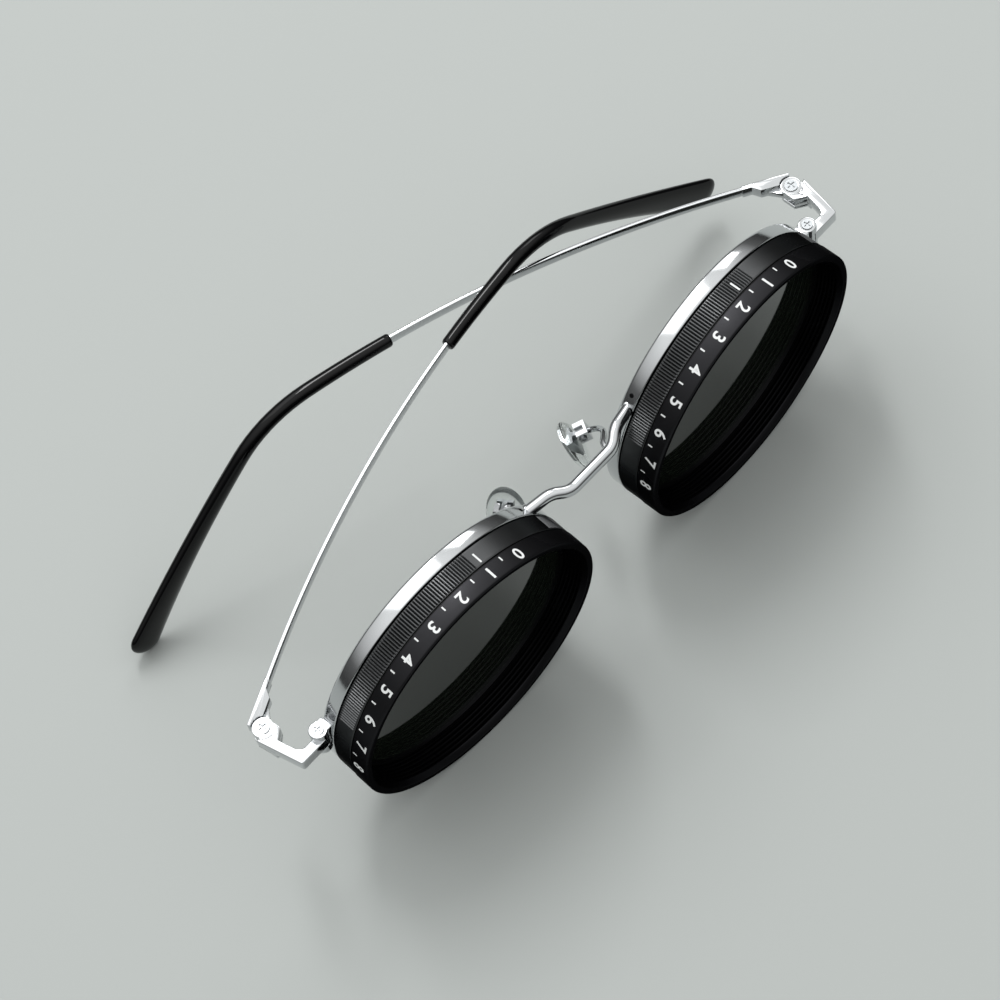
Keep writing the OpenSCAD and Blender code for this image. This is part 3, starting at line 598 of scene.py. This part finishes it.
def add_pad_arm(side):
    """Pad arm: a fine wire that leaves the rim, bows outboard and ends on the box."""
    foot = Vector((LENS_OFFSET - RIM_R + 0.6, 8.8, 3.4))
    to_hinge_frame = (STAND @ MIRROR[side]).inverted()
    end = to_hinge_frame @ pad_place(side) @ Vector((0, PAD_DROP, -PAD_T / 2 - 1.75))
    points = [foot, foot + Vector((0.5, 2.4, -0.2)), Vector((11.5, 13.4, 1.8)),
              Vector((11.9, 15.2, 0.4)), end]
    bm = swept(wire_stations(rounded_path(points, 1.2), ARM_R), 16)
    add_piece(f"{side}_arm_wire", bm, STAND @ MIRROR[side], "frame_metal", "front_frame",
              [f"{side}_pad_arm"])


# Temples

def along_temple(s):
    """Direction and up of the temple at a length s from the pin, before its rise."""
    bow = -max(s - BOW_START, 0) / BOW_R
    hook = min(max((s - HOOK_START) / HOOK_R, 0), math.radians(HOOK_ANGLE))
    direction = Vector((math.cos(hook) * math.cos(bow), math.cos(hook) * math.sin(bow),
                        -math.sin(hook)))
    out = Vector((-math.sin(bow), math.cos(bow), 0))
    return direction, direction.cross(out)


def temple_points(lengths):
    """Stepped middles of the temple at the given lengths, starting square behind the pin."""
    middle, s, made = Vector((0, BUTT_OUT - BAND_T / 2, 0)), 0.0, []
    for goal in lengths:
        count = max(1, math.ceil((goal - s) / 0.5))
        step = (goal - s) / count
        for i in range(count):
            middle = middle + along_temple(s + (i + 0.5) * step)[0] * step
        s = goal
        made.append(middle.copy())
    return made


def risen(side):
    """Temple frame tilted up from the level hinge."""
    return hinge_place(side) @ Matrix.Translation((0, 0, BAND_Z)) @ turn(-RISE[side], "Y")


def add_temple(side):
    """Temple: the hinge tongue, a short butt and a slim flat band that runs into the ear tip."""
    # From inside the butt to inside the ear tip; the section's circle passes through its corners
    lengths = [4 + i * 2.0 for i in range(37)] + [79]
    corner = math.sqrt(2) * 0.98
    stations = []
    for s, middle in zip(lengths, temple_points(lengths)):
        direction, up = along_temple(s)
        stations.append(station(middle, direction, up, BAND_T / 2 * corner, BAND_H / 2 * corner)
                        @ turn(45, "Z"))
    band = swept(stations, 4)
    bevel(band, [e for e in band.edges if e.calc_face_angle(0) > 1], 0.14)
    bmesh.ops.transform(band, matrix=Matrix.Translation((0, 0, BAND_Z)) @ turn(-RISE[side], "Y"),
                        verts=band.verts)
    low, high = BAND_Z - BAND_H / 2 - 0.2, BAND_Z + BAND_H / 2 + 0.2
    outer, inner = BUTT_OUT + 0.1, BUTT_OUT - BAND_T - 0.1
    # A square front end, an arc clear of the fork's eyes, and a taper down to the band
    butt = plate([(-0.35, outer), (-0.35, 2.0), (0.6, 1.93), (1.2, 1.62), (1.65, 1.17),
                  (1.93, 0.6), (5.2, 0.6), (6.6, inner), (BOW_START + 0.3, inner),
                  (BOW_START + 0.3, outer)], low, high, 0.14)
    # Behind the hinge the butt rises with the band
    rising, level_end = Matrix.Identity(4), 2
    rising[2][0] = math.tan(math.radians(RISE[side]))
    bmesh.ops.transform(butt, matrix=Matrix.Translation((level_end, 0, 0)) @ rising
                        @ Matrix.Translation((-level_end, 0, 0)),
                        verts=[v for v in butt.verts if v.co.x > level_end])
    tongue = joined(barrel(0, 0, -TONGUE_T / 2, TONGUE_T / 2, EYE_R - 0.1, 0.06),
                    plate([(0.2, -EYE_R * 0.75), (4.4, 0.9), (4.4, 1.5), (1.2, 1.9),
                           (0.2, EYE_R * 0.8)], -TONGUE_T / 2, TONGUE_T / 2, 0.06))
    add_piece(f"{side}_temple_wire", joined(band, butt, tongue), hinge_place(side),
              "frame_metal", f"{side}_temple_arm", [f"{side}_temple"])


def add_tip(side):
    """Ear tip: polished acetate over the wire's end, widening to a flat rounded paddle."""
    length, dome = TEMPLE_LEN - TIP_START, 0.96
    # Shares of the tip's length: its eased mouth, the long body, and the rounded end
    shares = [0, 0.002, 0.006] + [0.015 + (dome - 0.015) * i / 40 for i in range(41)]
    shares += [dome + (1 - dome) * math.sin(math.radians(90 * i / 8)) for i in range(1, 9)]
    lengths = [TIP_START + t * length for t in shares]
    stations = []
    for t, s, middle in zip(shares, lengths, temple_points(lengths)):
        direction, up = along_temple(s)
        end = math.sqrt(max(1 - ((t - dome) / (1 - dome)) ** 2, 0.02)) if t > dome else 1
        begin = {0: 0.82, 0.002: 0.93}.get(t, 1)
        half_h = (TIP_H + (PADDLE_H - TIP_H) * t ** 3) / 2 * end * begin
        half_t = TIP_T / 2 * (0.9 + 0.1 * min(t * 4, 1)) * end * begin
        stations.append(station(middle, direction, up, half_t, half_h))
    add_piece(f"{side}_acetate_tip", swept(stations, 28), risen(side), "tip_acetate",
              f"{side}_temple_arm", [f"{side}_ear_tip"], sharp=50)


def dress_nodes():
    """Gives the nodes that are shown as they are packed their finish."""
    for entry in frame["record"]["subparts"]:
        obj = frame["nodes"][entry["node"]]
        obj.data.materials.clear()
        obj.data.materials.append(FINISH[entry["material_slot"]])


# Surface, light and camera

def add_surface():
    """A pale grey-green matt surface, far larger than the view."""
    bm = bmesh.new()
    bmesh.ops.create_grid(bm, x_segments=1, y_segments=1, size=4.0)
    mesh = bpy.data.meshes.new("surface")
    bm.to_mesh(mesh)
    bm.free()
    surface = bpy.data.objects.new("surface", mesh)
    SCENE.collection.objects.link(surface)
    # Matt pale card: a soft even grey-green.
    mesh.materials.append(finish("pale matt card", Base_Color=linear("#afb3b1"), Roughness=0.7,
                                 Specular_IOR_Level=0.25)[0])


def add_lamp(name, place, target, size, power):
    """A soft lamp, width by length, that looks at a point."""
    lamp = bpy.data.lights.new(name, "AREA")
    lamp.shape, lamp.energy = "RECTANGLE", power
    lamp.size, lamp.size_y = size
    obj = bpy.data.objects.new(name, lamp)
    SCENE.collection.objects.link(obj)
    aim = (Vector(target) - Vector(place)).to_track_quat("-Z", "Y")
    obj.matrix_world = Matrix.Translation(place) @ aim.to_matrix().to_4x4()


def add_light():
    """A bright soft ceiling that falls off towards the walls, and three soft lamps."""
    world = bpy.data.worlds.new("room")
    SCENE.world = world
    world.use_nodes = True
    tree = world.node_tree
    place = node(tree, "ShaderNodeTexCoord")
    height = node(tree, "ShaderNodeSeparateXYZ", links={"Vector": place.outputs["Generated"]})
    fall = node(tree, "ShaderNodeValToRGB", links={"Fac": height.outputs["Z"]})
    # Dark below and pale above, a trace greener than grey; a new ramp has two stops
    shades = ((0.0, 0.03), (0.3, 0.12), (0.55, 0.55), (0.85, 0.95))
    stops = fall.color_ramp.elements
    for i, (height_share, grey) in enumerate(shades):
        stop = stops[i] if i < 2 else stops.new(height_share)
        stop.position, stop.color = height_share, (grey, grey * 1.01, grey, 1)
    backdrop = tree.nodes["Background"]
    tree.links.new(fall.outputs["Color"], backdrop.inputs["Color"])
    backdrop.inputs["Strength"].default_value = 1.2
    add_lamp("overhead", (-0.03, 0.42, 1.0), (0, 0, 0.02), (0.85, 0.85), 2.4)
    add_lamp("key", (0.25, 0.42, 0.97), (0, 0, 0.02), (0.14, 0.5), 3.2)
    add_lamp("window", (0.9, 0.5, 0.88), (0, 0, 0.02), (0.45, 0.45), 1.6)


def add_camera():
    """The photograph's view: fitted to the ring outlines, in the hinge frame."""
    x = Vector((0.66999, -0.73164, -0.12581))
    down = Vector((-0.68821, -0.54857, -0.4748))
    ahead = Vector((0.27836, 0.40469, -0.87106))
    camera = bpy.data.cameras.new("photo_camera")
    camera.sensor_width, camera.lens = 36, 126
    camera.clip_start, camera.clip_end = 0.01, 20
    obj = bpy.data.objects.new("photo_camera", camera)
    SCENE.collection.objects.link(obj)
    facing = Matrix((x, -down, -ahead)).transposed()
    spin = (turn(STAND_TILT, "X").to_3x3() @ facing).to_quaternion()
    obj.matrix_world = Matrix.LocRotScale(STAND @ Vector((-172.76, -219.23, 513.11)), spin, None)
    SCENE.camera = obj


dress_nodes()
for wearer_side in SIDES:
    add_rim(wearer_side)
    add_sight_hole(wearer_side)
    add_rear_ring(wearer_side)
    add_front_ring(wearer_side)
    add_marks(wearer_side)
    add_lock(wearer_side)
    add_endpiece(wearer_side)
    add_pad_arm(wearer_side)
    add_pad(wearer_side)
    add_temple(wearer_side)
    add_tip(wearer_side)
add_bridge()
add_surface()
add_light()
add_camera()
